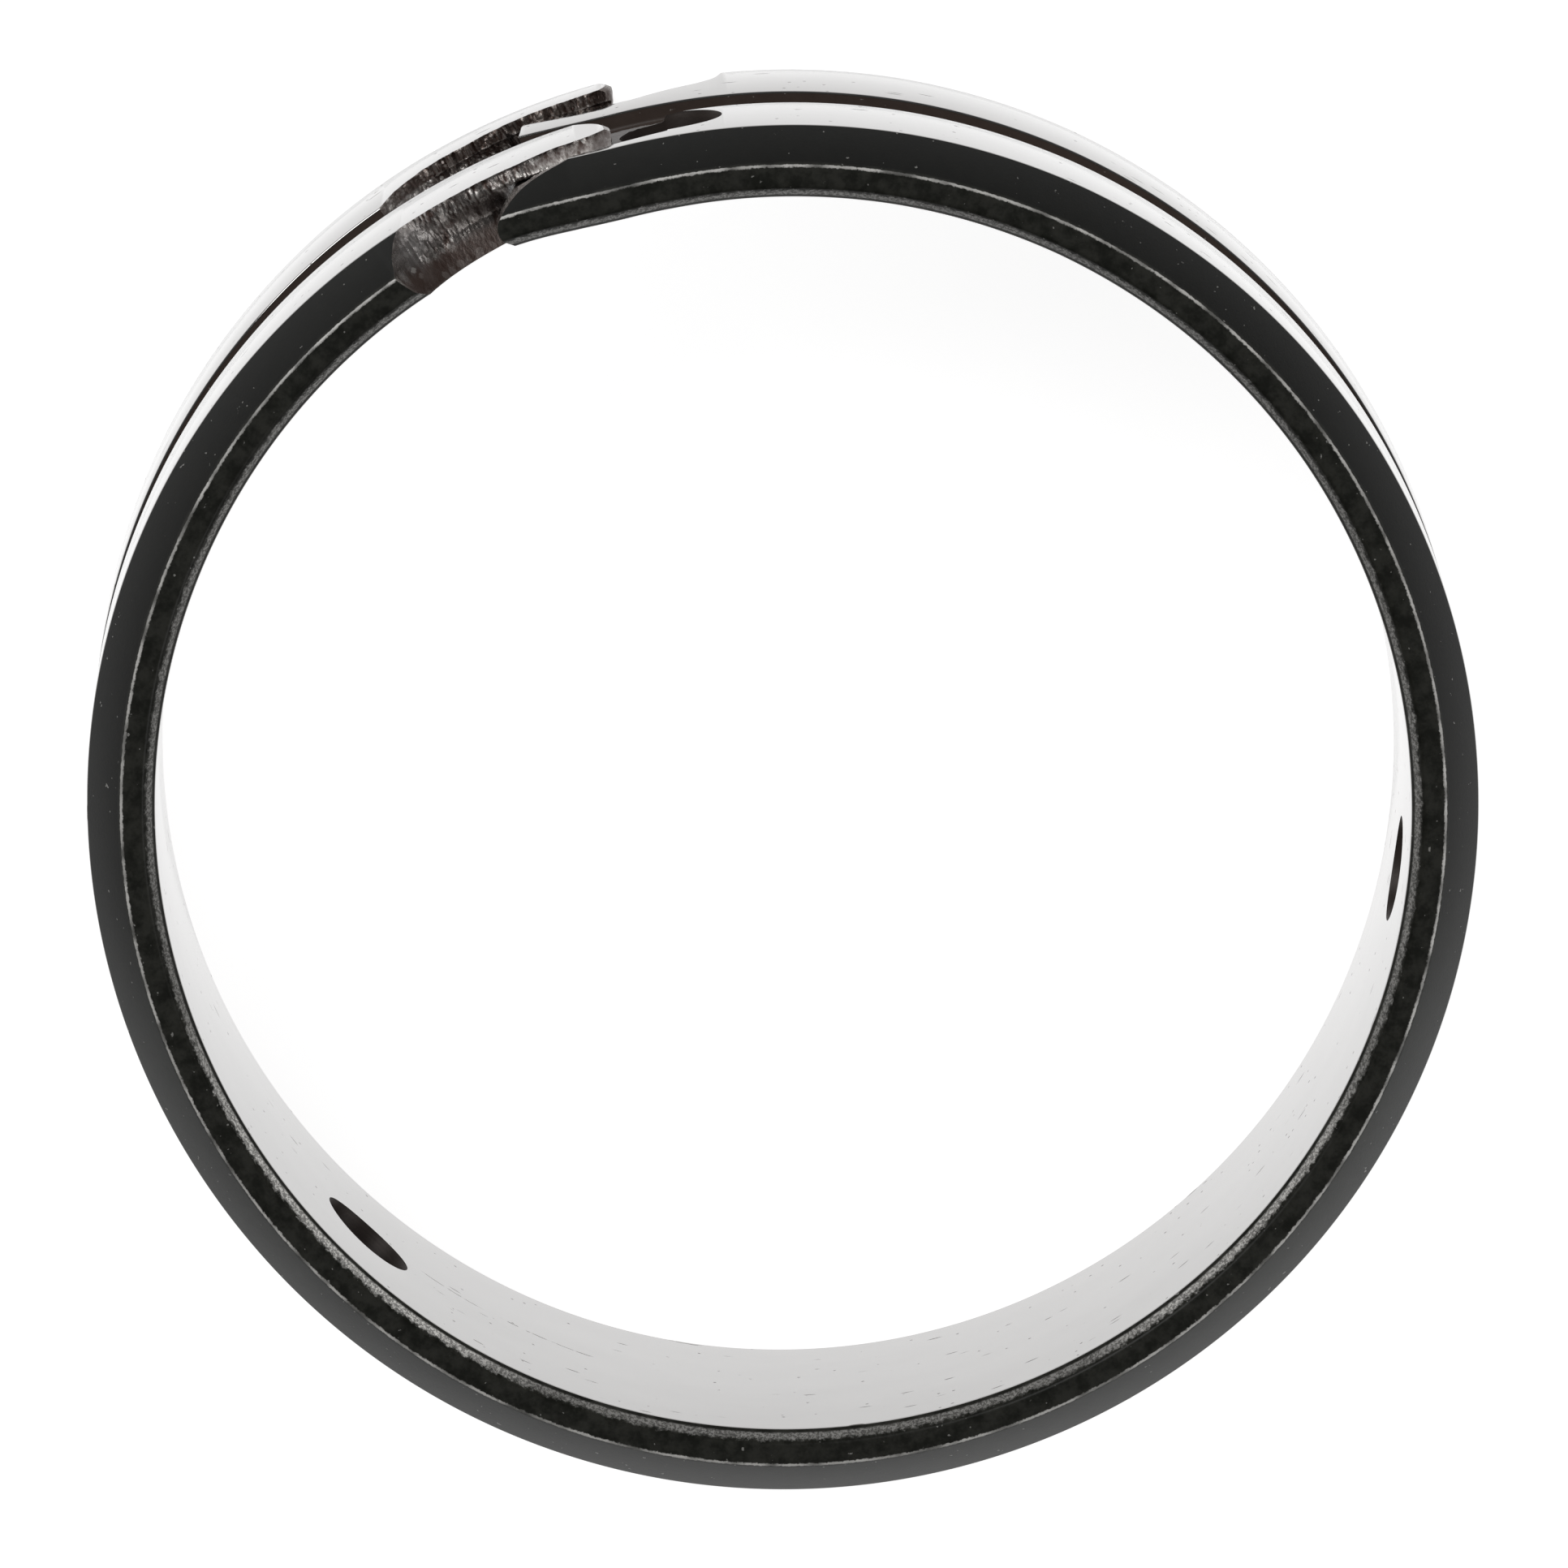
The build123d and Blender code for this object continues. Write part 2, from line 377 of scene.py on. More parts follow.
def front_break():
    """The front of the left arm broke away: a scoop by the front face, then a torn ledge along
    the finger."""
    angle, radius = field(grid(100, 127.2, TORN_STEP), grid(BORE - 1, OUTER + 1.6, 0.09))
    start = curve(
        radius, (31.5, 124.1), (32.5, 124.2), (33.2, 124.6), (34.0, 125.2), (34.6, 125.3),
        (35.3, 125.0), (36.0, 124.3), (37.6, 123.4),
    )
    start = start + 0.1 * rough(radius * 1.3, 0.0, seed=3)
    depth = curve(
        radius, (31.5, 2.2), (32.5, 2.3), (33.6, 3.0), (34.6, 3.1), (35.3, 2.75), (36.0, 2.35),
        (37.6, 2.3),
    )
    # Inside the finger's skin the ledge goes on falling, and outside it slants to the finger's end
    depth = depth + 0.19 * np.maximum(122.5 - angle, 0) * smooth(35.4, 34.0, radius)
    slant = curve(
        angle, (103.5, 4.2), (104.6, 3.0), (105.6, 2.2), (107, 1.75), (109.5, 1.65), (111, 1.2),
        (112.2, 0.8), (115, 0.6), (118, 0.25), (121, 0),
    )
    depth = depth + slant * smooth(35.1, 36.0, radius)
    reach = curve(
        radius, (31.5, 1.6), (33.0, 2.4), (34.5, 2.4), (35.3, 1.5), (36.0, 0.8), (37.6, 0.7))
    # Past its start the scoop drops steeply to its depth; before it, the cutter is clear of the ring
    fall = (start - angle) / reach
    floor = depth * (1 - np.exp(-np.maximum(fall, 0) * 1.6)) + np.minimum(fall, 0) * 2.5
    torn = smooth(0.5, 2.6, start - angle) * (0.15 + 0.85 * smooth(33.3, 34.6, radius))
    torn = torn * (1 - 0.5 * smooth(35.6, 36.1, radius))
    relief = 0.3 * torn * hackle(arc(angle) * 1.6, radius, 11)
    near = place(angle, radius, WIDTH - floor - relief)
    return cutter("front_break_cutter", near, place(angle, radius, WIDTH + 3.0))


def rear_edge(angle):
    """Height of the rear finger's torn front edge."""
    return curve(
        angle, (100, 2.6), (104.5, 2.8), (106.3, 3.1), (107.7, 3.35), (112, 3.5), (113.4, 3.7),
        (115, 4.0), (117, 4.4), (119.3, 4.45), (120.8, 4.8), (122.4, 5.4), (123.7, 6.2),
        (124.5, 7.3), (125.1, 8.5), (127, 10.2),
    )


def groove_break():
    """Between the fingers: torn down from the groove to the rear finger, shallow at first, then
    through."""
    angle, share = field(grid(100, 125.7, TORN_STEP), np.linspace(0, 1, 60))
    through = 1 - smooth(112.8, 113.6, angle)
    inner = GROOVE_FLOOR - 0.35 - 4.0 * through
    radius = inner + (OUTER + 1.4 - inner) * share
    relief = 0.32 * hackle(arc(angle) * 1.6, radius * 1.4, 31) * smooth(125.5, 124.0, angle)
    crease = 0.4 * smooth(35.36, 35.24, radius) * smooth(120.5, 118.5, angle)
    near = place(angle, radius, rear_edge(angle) - relief - crease)
    return cutter("groove_break_cutter", near, place(angle, radius, GROOVE_TOP - 0.05))


def groove_floor_break():
    """The groove's floor, torn a little deeper where the fingers part."""
    angle, share = field(grid(108, 124.6, TORN_STEP), np.linspace(0, 1, 60))
    low, high = rear_edge(angle) + 0.1, GROOVE_TOP - 0.02
    height = low + (high - low) * share
    depth = 0.5 * smooth(124.5, 122, angle) + 0.25 * hackle(arc(angle) * 1.6, height, 61)
    near = place(angle, GROOVE_FLOOR + 0.05 - depth, height)
    return cutter("groove_floor_cutter", near, place(angle, OUTER + 1.4, height))


def core_break():
    """Under the fingers, the inner layer tore off: the full wall ends in a steep, torn face."""
    angle, height = field(grid(100, 119.5, TORN_STEP), grid(-1, WIDTH + 1, 0.18))
    end = 113.3 + 0.3 * smooth(16, 20, height)
    ramp = smooth(0, 0.9, angle - end - 0.25 * noise(height * 0.6, 0.0, seed=5))
    rear = smooth(9, 7, height)
    rear_skin = curve(
        angle, (104, 35.02), (108, 34.95), (109.1, 34.83), (111, 34.5), (112, 34.45), (116, 34.5),
    )
    skin = rear * rear_skin + (1 - rear) * (OUTER - FINGER_SKIN)
    skin = skin + 0.06 * hackle(arc(angle), height, 51)
    past_bore = 1.2
    near = place(angle, skin - ramp * (skin - BORE + past_bore), height)
    return cutter("core_break_cutter", near, place(angle, BORE - 2.5, height))


def finger_ends():
    """The rounded ends of the two fingers."""
    height, radius = field(grid(-1, WIDTH + 1, 0.12), grid(BORE - 1.5, OUTER + 1.6, 0.1))
    end = curve(
        height, (-1, 106.2), (0, 105.4), (0.5, 104.6), (1.2, 104.1), (2.0, 104.0), (2.7, 104.3),
        (3.2, 105.2), (9, 108.4), (11, 108.4), (12.1, 107.0), (13, 105.8), (14, 104.95),
        (15, 104.45), (16, 104.3), (17.5, 104.3), (19, 104.4), (19.4, 104.9), (20, 106.5),
    )
    rounding = 0.5 * smooth(35.75, 36.0, radius) ** 2 + 0.25 * np.maximum(OUTER - radius - 0.4, 0)
    end = end + 0.1 * hackle(height * 0.9, radius, 71) * smooth(36, 35.8, radius) + rounding
    return cutter("finger_end_cutter", place(end, radius, height), place(100.5, radius, height))


# ---------------------------------------------------------------- the break, right arm

def rear_slant():
    """The rear of the right arm broke away along a slant that rises to the front tongue."""
    angle, radius = field(grid(93.5, 120, TORN_STEP), grid(BORE - 1, OUTER + 1, 0.1))
    lower = curve(
        angle, (93, -1.4), (94.6, -1.2), (94.95, 0.9), (95.4, 2.0), (96.9, 3.1), (99.5, 3.8),
        (102.2, 4.7), (104.2, 4.9), (105.5, 4.35), (107, 4.15), (110, 4.25), (111.8, 4.5),
        (112.2, 5.5), (112.4, 8.2), (112.5, 11), (112.5, 15), (112.6, 18.2), (113.0, 19.5),
        (114.2, 20.1), (116.6, 20.4), (120, 21.0),
    )
    relief = 0.2 * hackle(arc(angle) * 1.4, radius, 91) * smooth(95.2, 96.5, angle)
    near = place(angle, radius, lower + relief)
    return cutter("rear_slant_cutter", near, place(angle, radius, -3.0))


def finger_bed():
    """The skin of the right arm tore off where the front finger lies, up to a thin strip by the
    bevel. The bed is as dark as the holes' walls."""
    angle, share = field(grid(99.2, 120, TORN_STEP), np.linspace(0, 1, 80))
    strip = curve(
        angle, (98, 3.2), (99.6, 1.85), (102.4, 1.25), (103.7, 1.13), (105.3, 0.95), (107, 0.6),
        (108.4, 0.1), (120, -0.1),
    )
    height = GROOVE_MIDDLE + (BAND_TOP - strip - GROOVE_MIDDLE) * share
    bed = BED_RADIUS - right_lift(angle + 360) + 0.6 * smooth(100.3, 99.3, angle)
    near = place(angle, bed + 0.07 * hackle(arc(angle), height, 111), height)
    return cutter("finger_bed_cutter", near, place(angle, OUTER + 2, height), DRILLED)


def tongue_break():
    """Seen from the front, the right arm narrows to a rounded tongue."""
    # (angle, radius) along the tongue's edge, from the outside round the tip to the bore
    knots = (
        (106.3, 37.0), (107.3, 36.12), (108.5, 35.88), (109.6, 35.74), (111.4, 35.42),
        (112.8, 35.07), (114.1, 34.58), (115.0, 34.15), (115.48, 33.8), (115.68, 33.4),
        (115.62, 33.05), (115.4, 32.78), (114.95, 32.52), (114.6, 32.1), (114.3, 31.4),
    )
    root_angle, root_radius = 107.0, 31.5
    mm_per_degree = 0.6
    steps = np.linspace(0, len(knots) - 1, 260)
    edge_angle, edge_radius = (
        curve(steps, *enumerate(values))[:, None] for values in zip(*knots)
    )
    away_angle, away_radius = edge_angle - root_angle, edge_radius - root_radius
    length = np.hypot(away_angle * mm_per_degree, away_radius)
    away_angle, away_radius = away_angle / length, away_radius / length
    height = grid(BAND_TOP - 4.5, WIDTH + 1.0, 0.1)[None, :]
    surface = WIDTH - np.maximum(edge_radius - CORNER, 0) * BEVEL_AXIAL / BEVEL_RADIAL
    # Below the surface the torn side leans out, most of all by the outside of the ring
    leaning = (smooth(8.5, 3.5, steps) * smooth(0, 1, steps))[:, None]
    lean = 0.4 * smooth(0.0, 3.4, surface - height) * leaning
    relief = 0.16 * hackle(arc(edge_angle) * 1.5, height, 131) * smooth(0, 0.8, surface - height)
    out = lean - relief
    near_angle = edge_angle + away_angle * out * mm_per_degree
    near = place(near_angle, edge_radius + away_radius * out, height)
    far = place(edge_angle + away_angle * 4.0, edge_radius + away_radius * 4.0, height)
    return cutter("tongue_cutter", near, far)


# ---------------------------------------------------------------- finishing a piece

def seal(piece):
    """Joins points that the cuts left almost on top of one another, and closes the slits between
    them."""
    work = bmesh.new()
    work.from_mesh(piece.data)
    bmesh.ops.remove_doubles(work, verts=work.verts, dist=JOIN_WITHIN * MM)
    bmesh.ops.dissolve_degenerate(work, dist=SLIVER * MM, edges=work.edges)
    open_edges = [edge for edge in work.edges if len(edge.link_faces) == 1]
    bmesh.ops.holes_fill(work, edges=open_edges, sides=0)
    work.to_mesh(piece.data)
    work.free()
    piece.data.validate()


def finish_piece(piece, lift, first_angle=0):
    """Seals the piece, stores each point's place on the unsprung ring, springs the piece, and
    shades it smooth between its edges. Its angles are counted from first_angle."""
    seal(piece)
    mesh = piece.data
    points = np.zeros(len(mesh.vertices) * 3)
    mesh.vertices.foreach_get("co", points)
    x, y, height = points.reshape(-1, 3).T / MM
    angle = np.degrees(np.arctan2(y, x)) % 360
    angle = np.where(angle < first_angle, angle + 360, angle)
    radius = np.hypot(x, y)
    stored = mesh.attributes.new("ring_place", "FLOAT_VECTOR", "POINT")
    stored.data.foreach_set("vector", np.stack([arc(angle), radius, height], 1).ravel())
    moved = place(angle, radius + lift(angle, height), height) * MM
    mesh.vertices.foreach_set("co", moved.ravel())
    mesh.update()
    mesh.polygons.foreach_set("use_smooth", np.ones(len(mesh.polygons), bool))
    mesh.set_sharp_from_angle(angle=math.radians(SHARP_ANGLE))


def bend_points(pivot, towards):
    """Start and end of the bend at a pivot angle, for an arm on the side given by towards, -1 or
    1."""
    at_pivot = place(pivot, MID_RADIUS, 0)
    turn = math.radians(pivot)
    along = np.array([-math.sin(turn), math.cos(turn), 0]) * towards
    return tuple((at_pivot - along * BEND_REACH) * MM), tuple((at_pivot + along * BEND_REACH) * MM)


# ---------------------------------------------------------------- materials

class Graph:
    """Short names for building a node material."""

    def __init__(self, name):
        self.material = bpy.data.materials.new(name)
        self.material.use_nodes = True
        self.tree = self.material.node_tree
        self.shader = self.tree.nodes["Principled BSDF"]

    def add(self, kind, **settings):
        made = self.tree.nodes.new(kind)
        for key, value in settings.items():
            setattr(made, key, value)
        return made

    def join(self, value, socket):
        if isinstance(value, bpy.types.NodeSocket):
            self.tree.links.new(value, socket)
        else:
            socket.default_value = value

    def math(self, operation, a, b=0.0, clamp=False):
        made = self.add("ShaderNodeMath", operation=operation, use_clamp=clamp)
        self.join(a, made.inputs[0])
        self.join(b, made.inputs[1])
        return made.outputs[0]

    def times(self, first, *more):
        for value in more:
            first = self.math("MULTIPLY", first, value)
        return first

    def plus(self, a, b):
        return self.math("ADD", a, b)

    def minus(self, a, b):
        return self.math("SUBTRACT", a, b)

    def larger(self, a, b, clamp=False):
        return self.math("MAXIMUM", a, b, clamp)

    def apart(self, a, b):
        """How far two values are from each other."""
        return self.math("ABSOLUTE", self.minus(a, b))

    def between(self, value, low, high, start=0.0, end=1.0):
        """value from low to high becomes start to end, smoothly, and stays there outside."""
        made = self.add("ShaderNodeMapRange", interpolation_type="SMOOTHSTEP")
        self.join(value, made.inputs[0])
        for k, number in enumerate((low, high, start, end)):
            made.inputs[k + 1].default_value = number
        return made.outputs[0]

    def fall(self, value, low, high, top=1.0):
        """top up to low, and nothing past high."""
        return self.between(value, low, high, top, 0.0)

    def band(self, value, rise, fall, top=1.0):
        """Nothing outside the ends of rise and fall, two ranges, and top between them."""
        return self.times(self.between(value, *rise), self.fall(value, *fall, top))

    def ring_place(self, along=1.0, out=1.0, up=1.0):
        """The point's place on the ring, in millimetres, stretched."""
        source = self.add("ShaderNodeAttribute", attribute_name="ring_place")
        made = self.add("ShaderNodeVectorMath", operation="MULTIPLY")
        self.join(source.outputs["Vector"], made.inputs[0])
        made.inputs[1].default_value = (along, out, up)
        return made.outputs[0]

    def parts(self):
        """Distance along the ring, radius and height, in millimetres."""
        made = self.add("ShaderNodeSeparateXYZ")
        self.join(self.ring_place(), made.inputs[0])
        return made.outputs

    def noise(self, vector, scale, detail=2.0, roughness=0.5):
        made = self.add("ShaderNodeTexNoise")
        self.join(vector, made.inputs["Vector"])
        made.inputs["Scale"].default_value = scale
        made.inputs["Detail"].default_value = detail
        made.inputs["Roughness"].default_value = roughness
        return made.outputs[0]

    def uneven(self, vector, scale, detail, roughness, amount):
        """Noise about zero, for a ragged edge."""
        return self.times(self.minus(self.noise(vector, scale, detail, roughness), 0.5), amount)

    def cells(self, vector, scale):
        """Distance from the nearest of a set of scattered points."""
        made = self.add("ShaderNodeTexVoronoi")
        self.join(vector, made.inputs["Vector"])
        made.inputs["Scale"].default_value = scale
        return made.outputs["Distance"]

    def blend(self, share, a, b):
        made = self.add("ShaderNodeMix", data_type="RGBA")
        self.join(share, made.inputs["Factor"])
        for value, socket in ((a, made.inputs[6]), (b, made.inputs[7])):
            self.join(value if isinstance(value, bpy.types.NodeSocket) else (*value, 1.0), socket)
        return made.outputs[2]

    def bump(self, height, strength, distance):
        made = self.add("ShaderNodeBump")
        self.join(height, made.inputs["Height"])
        made.inputs["Strength"].default_value = strength
        made.inputs["Distance"].default_value = distance
        self.join(made.outputs[0], self.shader.inputs["Normal"])

    def set(self, **values):
        for key, value in values.items():
            socket = self.shader.inputs[key.replace("_", " ")]
            self.join((*value, 1.0) if isinstance(value, tuple) else value, socket)


def spots(g, stretch, scale, size, patch_scale, patch_edge):
    """Small marks at scattered points, kept only inside random patches."""
    marks = g.fall(g.cells(g.ring_place(*stretch), scale), *size)
    return g.times(marks, g.between(g.noise(g.ring_place(), patch_scale, 1.0), *patch_edge))


def scratch(g, start, end, low, lean):
    """A thin, broken line on the bore that wanders about a straight course."""
    along, radius, height = g.parts()
    off_course = g.minus(height, g.plus(g.times(g.minus(along, start), lean), low))
    wander = g.times(g.noise(g.ring_place(0.5, 0, 0.5), 1.0, 3.0), 0.8)
    thin = g.fall(g.apart(off_course, wander), 0.03, 0.1)
    inside = g.band(along, (start, start + 0.5), (end - 0.5, end))
    broken = g.between(g.noise(g.ring_place(1.2, 0, 1), 1.0, 2.0), 0.4, 0.5)
    on_bore = g.between(radius, OUTER - 1, OUTER - 2)
    return g.times(g.times(thin, inside, broken), on_bore)


def polished_material():
    """Ground and polished steel, with fine pits, short dashes, faint grinding lines and a few
    long scratches on the bore."""
    steel_dark, steel_light = (0.35, 0.344, 0.34), (0.41, 0.403, 0.398)
    mark_brown = (0.07, 0.063, 0.056)
    g = Graph("polished_steel")
    pits = spots(g, (1.0, 1.0, 1.0), 1.0, (0.06, 0.12), 0.7, (0.45, 0.5))
    dashes = spots(g, (0.4, 1.0, 2.0), 0.62, (0.07, 0.13), 0.45, (0.45, 0.49))
    marks = g.larger(pits, dashes)
    for course in SCRATCHES:
        marks = g.larger(marks, scratch(g, *course))
    cloud = g.noise(g.ring_place(0.15, 0.3, 0.3), 1.0, 3.0)
    colour = g.blend(g.times(marks, 0.8), g.blend(cloud, steel_dark, steel_light), mark_brown)
    grinding_lines = g.noise(g.ring_place(0.08, 1, 14), 1.0, 2.0)
    roughness = g.plus(g.between(grinding_lines, 0.3, 0.7, 0.05, 0.1), g.times(marks, 0.35))
    g.set(Base_Color=colour, Metallic=1.0, Roughness=roughness)
    return g.material


def corner_line(g):
    """Thin, patchy line where the corner between front face and bevel is rubbed bright."""
    _, radius, height = g.parts()
    off_corner = g.plus(g.apart(radius, CORNER), g.apart(height, WIDTH))
    ragged = g.uneven(g.ring_place(), 4.0, 5.0, 0.75, 0.3)
    line = g.fall(g.plus(off_corner, ragged), 0.05, 0.13)
    return g.times(line, g.between(g.noise(g.ring_place(), 0.5, 3.0), 0.35, 0.6, 0.15, 0.75))


def rubbed_flecks_and_glint(g):
    """Flecks rubbed bright on the front face by the bore, with a painted highlight along two
    stretches.
    """
    along, radius, height = g.parts()
    strip = g.fall(
        g.plus(radius, g.uneven(g.ring_place(), 2.5, 4.0, 0.7, 0.6)), BORE + 0.36, BORE + 0.54)
    strip = g.times(strip, g.between(radius, BORE + 0.13, BORE + 0.22))
    strip = g.times(strip, g.between(height, WIDTH - 1.5, WIDTH - 0.9))
    # Painted highlight: the flecks are brightest along two stretches, where lamps would glint on the
    # rounded edge
    most = g.band(along, (112, 127), (140, 152))
    fewer = g.band(along, (174, 184), (194, 206), 0.75)
    amount = g.larger(g.larger(most, fewer), 0.35)
    flecks = g.between(g.noise(g.ring_place(), 6.0, 5.0, 0.8), 0.46, 0.56)
    return g.times(g.plus(g.times(flecks, 0.7), 0.3), amount, strip)


def oxide_material():
    """Turned surfaces that kept a dark oxide, mottled, and rubbed bright along the corners. The
    flecks by the bore carry a painted highlight. The bevel has painted shade along the upper part of
    the ring and painted light along the lower part, and the groove is brown."""
    face_dark, face_light = (0.011, 0.0115, 0.009), (0.034, 0.034, 0.029)
    bevel_painted_shade = (0.004, 0.0042, 0.0035), (0.011, 0.0112, 0.0095)
    bevel_painted_light = (0.033, 0.034, 0.032), (0.055, 0.056, 0.053)
    groove_brown = (0.048, 0.033, 0.027), (0.085, 0.064, 0.054)
    rubbed_steel_and_glint = (0.97, 0.95, 0.91)
    g = Graph("dark_oxide")
    along, radius, height = g.parts()
    place_here = g.ring_place()
    mottle = g.noise(place_here, 1.1, 6.0, 0.7)
    colour = g.blend(g.between(mottle, 0.35, 0.65), face_dark, face_light)

    bevel = g.times(
        g.between(radius, CORNER + 0.05, CORNER + 0.2),
        g.between(height, BAND_TOP - 0.8, BAND_TOP - 0.2),
    )
    # Painted light and shade: the bevel is grey along the lower part of the ring, where it would
    # catch light off the floor, and black along the upper part
    grey = g.band(along, (109, 124), (201, 215))
    bevel_colour = g.blend(grey, g.blend(mottle, *bevel_painted_shade), g.blend(mottle, *bevel_painted_light))
    colour = g.blend(bevel, colour, bevel_colour)
    groove = g.times(
        g.between(radius, OUTER - 0.08, OUTER - 0.16), g.between(height, BAND_TOP, BAND_TOP - 0.2))
    colour = g.blend(groove, colour, g.blend(mottle, *groove_brown))

    stray = g.times(g.between(g.noise(place_here, 3.1, 2.0, 0.5), 0.72, 0.76), 0.25)
    wear_and_glint = g.larger(g.larger(rubbed_flecks_and_glint(g), corner_line(g)), stray, clamp=True)
    dull = g.times(
        g.fall(radius, BORE + 0.5, BORE + 0.9), g.between(height, WIDTH - 1.5, WIDTH - 0.9))
    gloss = g.plus(g.times(dull, -0.26), g.between(wear_and_glint, 0, 1, 0.32, 1.0))
    g.set(
        Base_Color=g.blend(wear_and_glint, colour, rubbed_steel_and_glint), Specular_IOR_Level=gloss, Metallic=0.0,
        Roughness=g.between(wear_and_glint, 0, 1, 0.34, 0.45),
    )
    g.bump(g.noise(place_here, 8.0, 4.0, 0.7), 0.25, 0.00002)
    return g.material


def fracture_material():
    """Torn steel: smooth and brown by the bore, with a painted highlight that turns the crests grey
    and a painted highlight along its rim at the front."""
    hollow_brown, hollow_grey = (0.075, 0.05, 0.042), (0.34, 0.315, 0.3)
    crest_painted_highlight = (0.66, 0.63, 0.6)
    scoop_highlight_grey, rim_highlight_grey = (0.5, 0.48, 0.47), (0.55, 0.53, 0.5)
    painted_shadow_brown, skin_brown = (0.02, 0.015, 0.012), (0.1, 0.064, 0.05)
    tip_brown, bore_brown = (0.045, 0.03, 0.025), (0.07, 0.044, 0.035)
    g = Graph("fracture")
    along, radius, height = g.parts()
    streaks = g.noise(g.ring_place(2.6, 0.7, 0.9), 1.0, 5.0, 0.65)
    mottle = g.between(streaks, 0.38, 0.64)
    pointiness = g.add("ShaderNodeNewGeometry").outputs["Pointiness"]
    hollow = g.blend(mottle, hollow_brown, hollow_grey)
    # Painted highlight: crests, found by pointiness, are lighter than the hollows
    colour = g.blend(g.between(pointiness, 0.495, 0.56), hollow, crest_painted_highlight)

    # A painted soft highlight in the scoop, and painted shadow in the hollow under the front finger
    from_scoop_highlight = g.plus(
        g.math("ABSOLUTE", g.times(g.minus(along, 73.4), 0.75)), g.apart(radius, 34.9))
    scoop_highlight = g.times(g.fall(g.plus(from_scoop_highlight, streaks), 0.8, 2.3), 0.7)
    colour = g.blend(scoop_highlight, colour, scoop_highlight_grey)
    # Painted shadow: darkens the hollow under the front finger
    painted_shadow = g.times(g.fall(along, 68.0, 70.6, 0.6), g.fall(radius, 34.6, 35.1))
    colour = g.blend(painted_shadow, colour, painted_shadow_brown)

    # Brown skin on the rear finger's edge, the fingers' dark tips, and a painted highlight along the
    # rim at the front
    skin = g.times(g.between(radius, 35.3, 35.45), g.fall(height, 6.0, 7.0, 0.6))
    colour = g.blend(skin, colour, skin_brown)
    colour = g.blend(g.fall(along, 63.1, 63.5, 0.75), colour, tip_brown)
    # Painted highlight along the rim where the break meets the front face
    rim = g.times(g.between(height, WIDTH - 0.26, WIDTH - 0.1), g.fall(radius, 34.3, 34.5, 0.8))
    colour = g.blend(rim, colour, rim_highlight_grey)
    by_bore = g.fall(g.plus(radius, g.times(streaks, 0.5)), BORE + 1.2, BORE + 1.9)
    colour = g.blend(g.times(by_bore, 0.85), colour, bore_brown)
    g.set(
        Base_Color=colour, Metallic=g.between(by_bore, 0, 1, 0.85, 0.35),
        Roughness=g.between(mottle, 0, 1, 0.36, 0.24),
    )
    g.bump(g.noise(g.ring_place(6.0, 3.0, 3.0), 1.0, 5.0, 0.7), 0.6, 0.00009)
    return g.material


def drilled_material():
    """The wall of an oil hole: dark brown, with faint drilling rings."""
    brown_dark, brown_light = (0.02, 0.014, 0.012), (0.06, 0.045, 0.038)
    g = Graph("drilled_wall")
    rings = g.noise(g.ring_place(0.3, 5, 0.3), 1.0, 3.0)
    g.set(Base_Color=g.blend(rings, brown_dark, brown_light), Metallic=0.3, Roughness=0.5)
    g.bump(g.noise(g.ring_place(), 6.0, 3.0), 0.3, 0.00003)
    return g.material


def floor_material():
    """Pale backlit table: white round the ring, and paler grey further away."""
    g = Graph("pale_table")
    source = g.add("ShaderNodeTexCoord")
    made = g.add("ShaderNodeVectorMath", operation="LENGTH")
    g.join(source.outputs["Object"], made.inputs[0])
    glow = g.between(made.outputs["Value"], *GLOW_FADES, GLOW_NEAR, GLOW_FAR)
    g.set(
        Base_Color=(0.5, 0.5, 0.5), Roughness=0.6, Emission_Color=(1.0, 1.0, 1.0),
        Emission_Strength=glow,
    )
    return g.material


# ---------------------------------------------------------------- stage, light and camera

def make_floor():
    """Square floor, just under the ring."""
    half = FLOOR_HALF
    corners = [(-half, -half, 0), (half, -half, 0), (half, half, 0), (-half, half, 0)]
    mesh = bpy.data.meshes.new("floor")
    mesh.from_pydata(corners, [], [(0, 1, 2, 3)])
    mesh.materials.append(floor_material())
    floor = bpy.data.objects.new("floor", mesh)
    floor.location.z = -FLOOR_GAP
    bpy.context.scene.collection.objects.link(floor)


def make_light(name, place_at, size, power):
    """Soft square light that faces the ring."""
    lamp = bpy.data.lights.new(name, "AREA")
    lamp.size = size
    lamp.energy = power
    made = bpy.data.objects.new(name, lamp)
    made.location = place_at
    made.rotation_euler = (Vector((0, 0, 0)) - Vector(place_at)).to_track_quat("-Z", "Y").to_euler()
    bpy.context.scene.collection.objects.link(made)


def make_sky():
    """Even, dark grey surroundings."""
    world = bpy.data.worlds.new("studio")
    world.use_nodes = True
    background = world.node_tree.nodes["Background"]
    background.inputs["Color"].default_value = (SKY_GREY, SKY_GREY, SKY_GREY, 1)
    bpy.context.scene.world = world


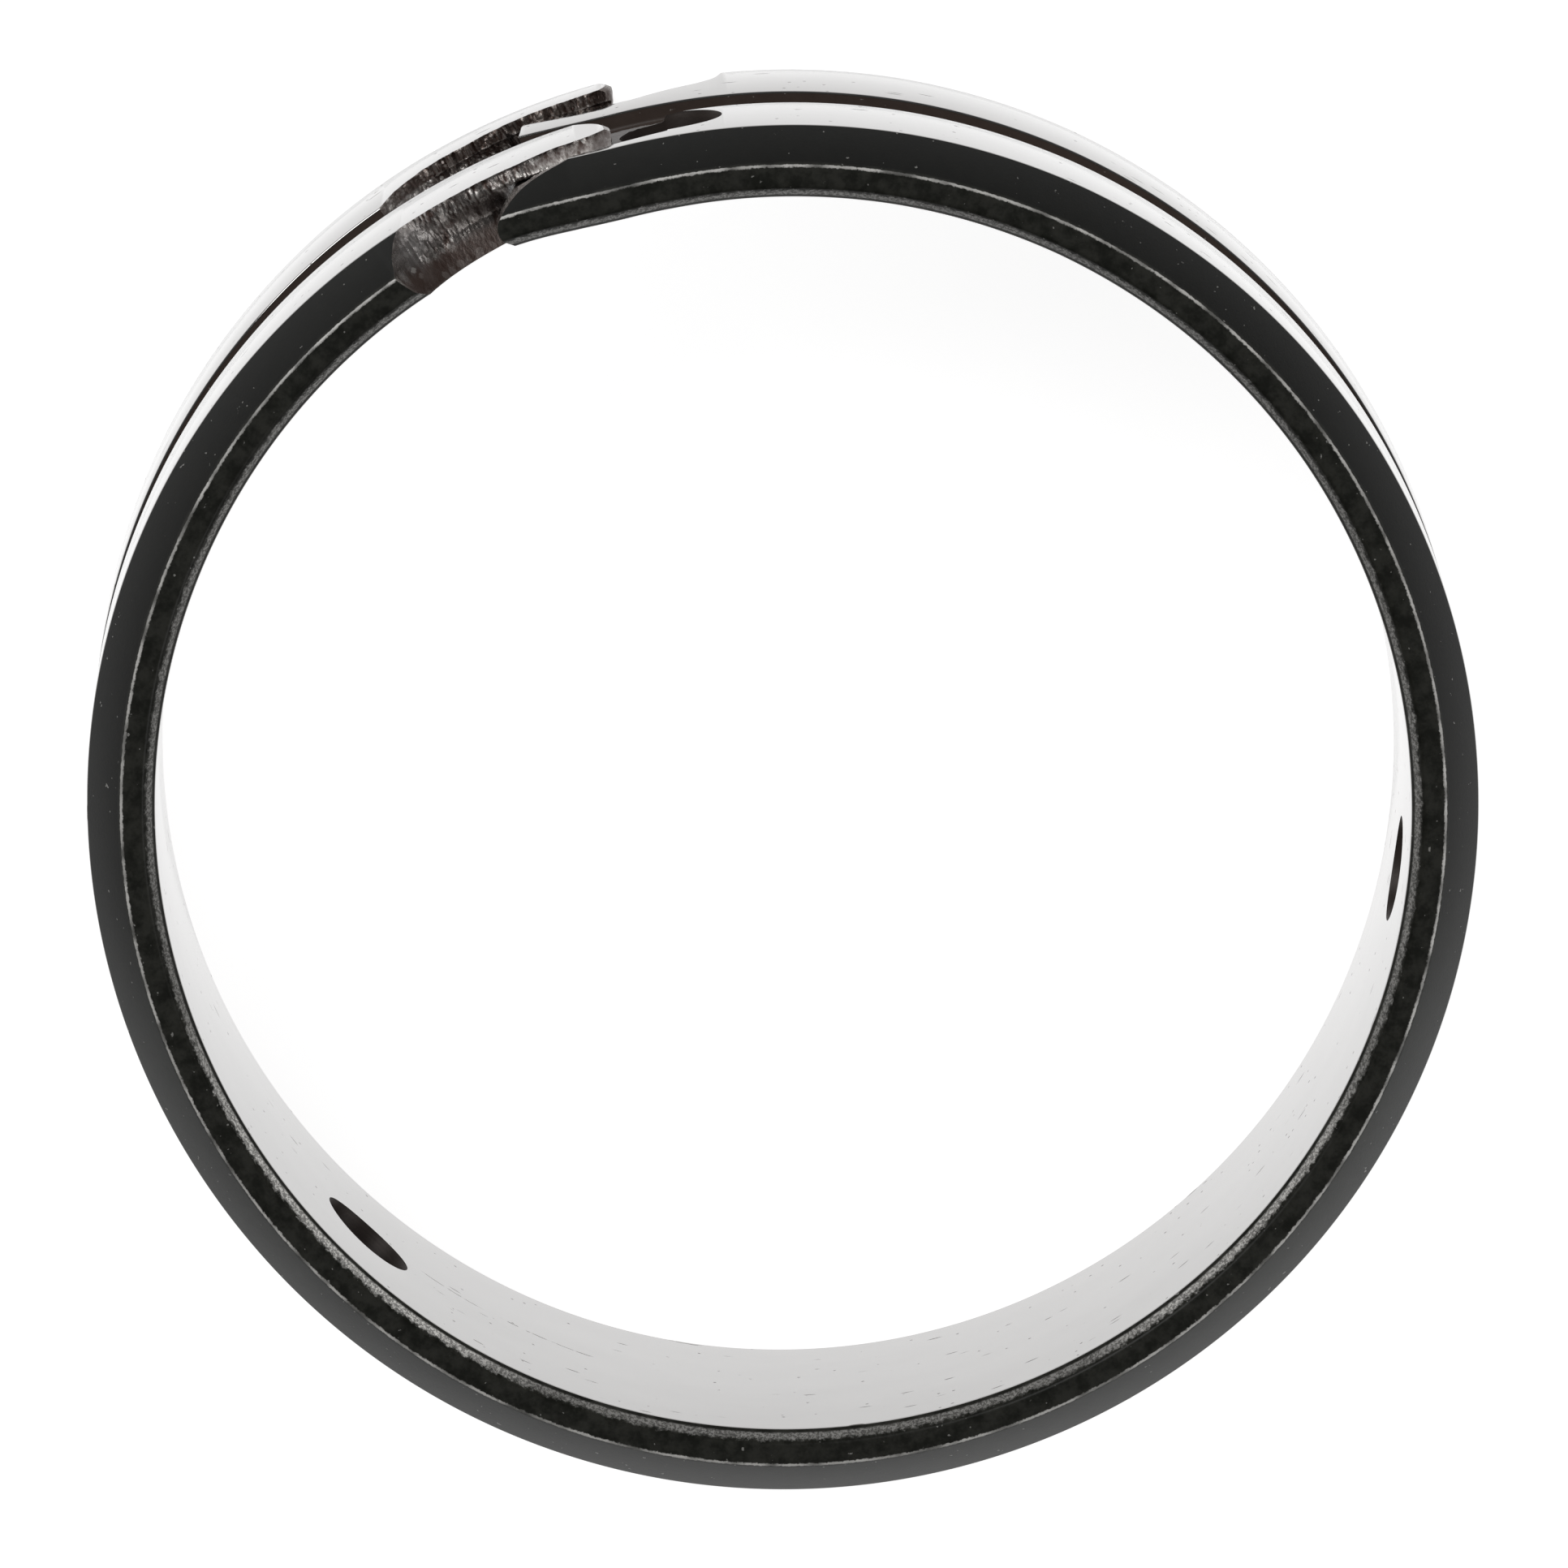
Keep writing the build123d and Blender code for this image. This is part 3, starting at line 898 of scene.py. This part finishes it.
def make_camera():
    """Looks down the ring's axis, from a little towards +Y, with +Y up."""
    tilt, yaw = math.radians(CAMERA_TILT), math.radians(CAMERA_YAW)
    distance = CAMERA_DISTANCE * MM
    ring_up = Vector((0, 1, 0))
    away = Vector((math.sin(yaw) * math.cos(tilt), math.sin(tilt), math.cos(tilt) * math.cos(yaw)))
    right = ring_up.cross(away).normalized()
    up = away.cross(right)
    face_centre = Vector((0, 0, WIDTH * MM))
    aim = face_centre + right * AIM_RIGHT * MM + up * AIM_UP * MM
    position = face_centre + away * distance
    back = (position - aim).normalized()
    side = ring_up.cross(back).normalized()
    turn = Matrix((side, back.cross(side), back)).transposed().to_4x4()
    camera_data = bpy.data.cameras.new("camera")
    camera_data.sensor_width = SENSOR
    camera_data.lens = SENSOR * distance / (FRAME_WIDTH * MM)
    camera_data.clip_start = 0.01
    camera = bpy.data.objects.new("camera", camera_data)
    camera.matrix_world = Matrix.Translation(position) @ turn
    bpy.context.scene.collection.objects.link(camera)
    bpy.context.scene.camera = camera


# ---------------------------------------------------------------- the scene

MATERIALS = [polished_material(), oxide_material(), fracture_material(), drilled_material()]

make_camera()
make_floor()
make_sky()
for light in LIGHTS:
    make_light(*light)
bpy.context.scene.view_settings.view_transform = "Standard"

back = ring_arc("ring_back_steel", LEFT_SEAM, RIGHT_SEAM)
finish_piece(back, back_lift)
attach(back, "ring_back")
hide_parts("ring_back")

left = ring_arc("left_arm_steel", LEFT_END, LEFT_SEAM)
cut(left, oil_hole(*LEFT_HOLE), front_break(), groove_break(), groove_floor_break(), core_break(),
    finger_ends())
finish_piece(left, left_lift)
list(bend_points(LEFT_PIVOT, -1))
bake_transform(left)
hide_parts("left_arm")

right = ring_arc("right_arm_steel", RIGHT_SEAM, RIGHT_END)
cut(right, oil_hole(*RIGHT_HOLE), oil_hole(*BREAK_HOLE), rear_slant(), finger_bed(), tongue_break())
finish_piece(right, right_lift, first_angle=200)
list(bend_points(RIGHT_PIVOT, 1))
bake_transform(right)
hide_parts("right_arm")
